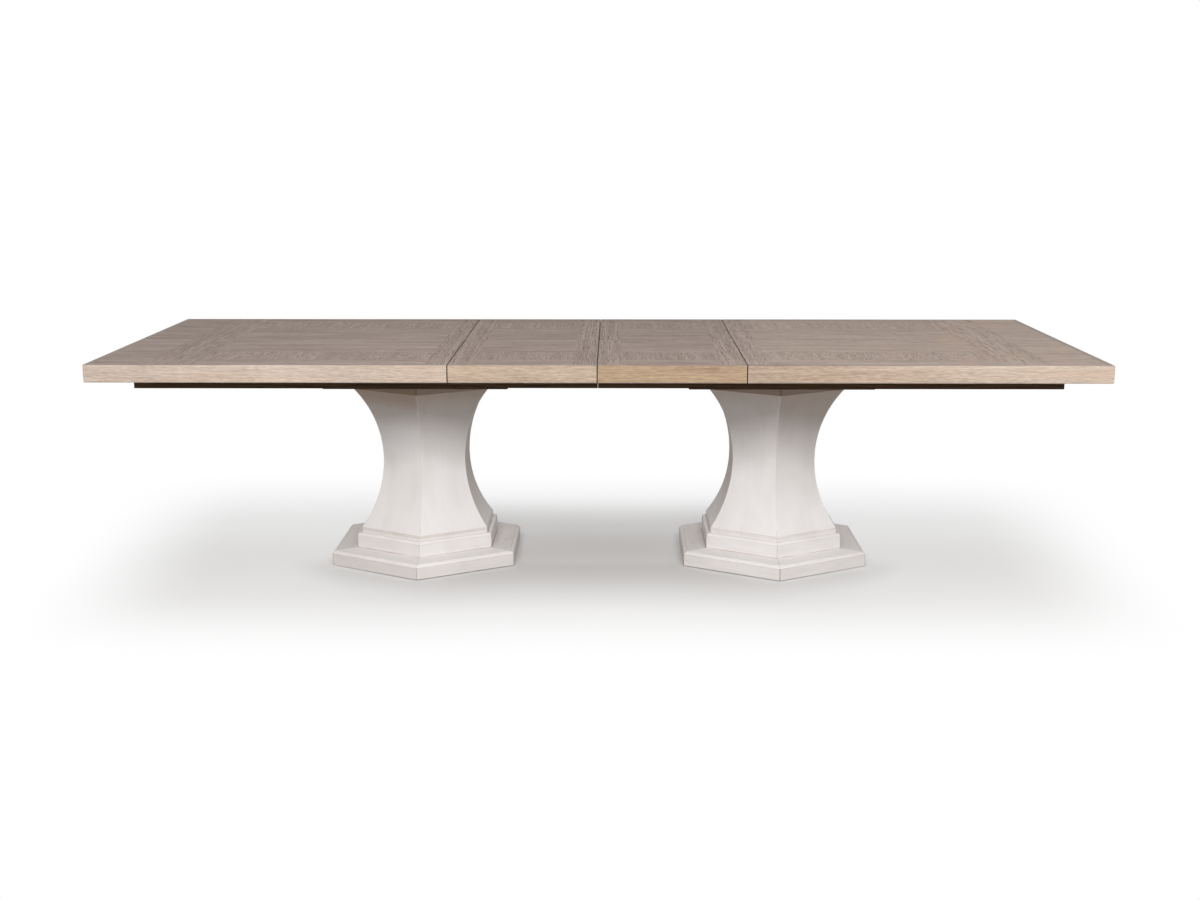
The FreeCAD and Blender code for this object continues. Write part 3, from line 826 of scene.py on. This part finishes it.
def white_world(light):
    """Even white surroundings of a given light; the camera and reflections see white."""
    world = bpy.data.worlds.new("studio")
    world.use_nodes = True
    tree = world.node_tree
    tree.nodes.clear()
    path = tree.nodes.new("ShaderNodeLightPath")
    seen = path.outputs["Is Camera Ray"]
    for name in ("Is Glossy Ray", "Is Transmission Ray"):
        either = tree.nodes.new("ShaderNodeMath")
        either.operation = "MAXIMUM"
        tree.links.new(seen, either.inputs[0])
        tree.links.new(path.outputs[name], either.inputs[1])
        seen = either.outputs[0]
    level = tree.nodes.new("ShaderNodeMapRange")
    tree.links.new(seen, level.inputs["Value"])
    level.inputs["To Min"].default_value = light
    level.inputs["To Max"].default_value = 1.0
    background = tree.nodes.new("ShaderNodeBackground")
    background.inputs["Color"].default_value = (1.0, 1.0, 1.0, 1.0)
    tree.links.new(level.outputs[0], background.inputs["Strength"])
    output = tree.nodes.new("ShaderNodeOutputWorld")
    tree.links.new(background.outputs[0], output.inputs["Surface"])
    bpy.context.scene.world = world


def softbox(name, place, target, width, height, power):
    lamp = bpy.data.lights.new(name, "AREA")
    lamp.shape = "RECTANGLE"
    lamp.size = width
    lamp.size_y = height
    lamp.energy = power
    made = add_object(name, lamp)
    made.location = place
    aim = Vector(target) - Vector(place)
    made.rotation_euler = aim.to_track_quat("-Z", "Y").to_euler()
    made.visible_camera = False
    made.visible_glossy = False


WORLD_LIGHT = 0.17
LAMPS = (
    # name, place, what it points at, width, height, power in watts
    ("key", (0.1, -8.4, 5.4), (0.1, 0.0, 0.30), 7.0, 2.6, 760.0),
    ("overhead", (0.5, -2.3, 3.3), (0.2, -0.4, 0.7), 5.0, 2.0, 44.0),
    ("behind", (0.0, 8.5, 1.3), (0.0, 0.0, 0.45), 6.0, 1.2, 300.0),
    ("left_end_fill", (-2.3, 0.0, 0.74), (0.0, 0.0, 0.74), 1.4, 0.2, 1.4),
    ("right_end_fill", (2.3, 0.0, 0.74), (0.0, 0.0, 0.74), 1.4, 0.2, 1.4),
)
white_world(WORLD_LIGHT)
for lamp in LAMPS:
    softbox(*lamp)


# Camera, solved from the corners in the photograph

CAMERA_PLACE = (0.051779, -5.127320, 1.455797)
CAMERA_PITCH = 0.208625
CAMERA_YAW = 0.009483
CAMERA_ROLL = -0.000332
FOCAL_PIXELS = 1492.434
IMAGE_WIDTH = 1200.0


def add_camera():
    lens = bpy.data.cameras.new("camera")
    lens.sensor_fit = "HORIZONTAL"
    lens.sensor_width = 36.0
    lens.lens = FOCAL_PIXELS * lens.sensor_width / IMAGE_WIDTH
    lens.clip_end = 200.0
    made = add_object("camera", lens)
    turn = Matrix.Rotation(CAMERA_YAW, 4, "Z")
    tilt = Matrix.Rotation(math.pi / 2 - CAMERA_PITCH, 4, "X")
    roll = Matrix.Rotation(CAMERA_ROLL, 4, "Z")
    made.matrix_world = Matrix.Translation(CAMERA_PLACE) @ turn @ tilt @ roll
    bpy.context.scene.camera = made


add_camera()
bpy.context.scene.view_settings.view_transform = "Standard"
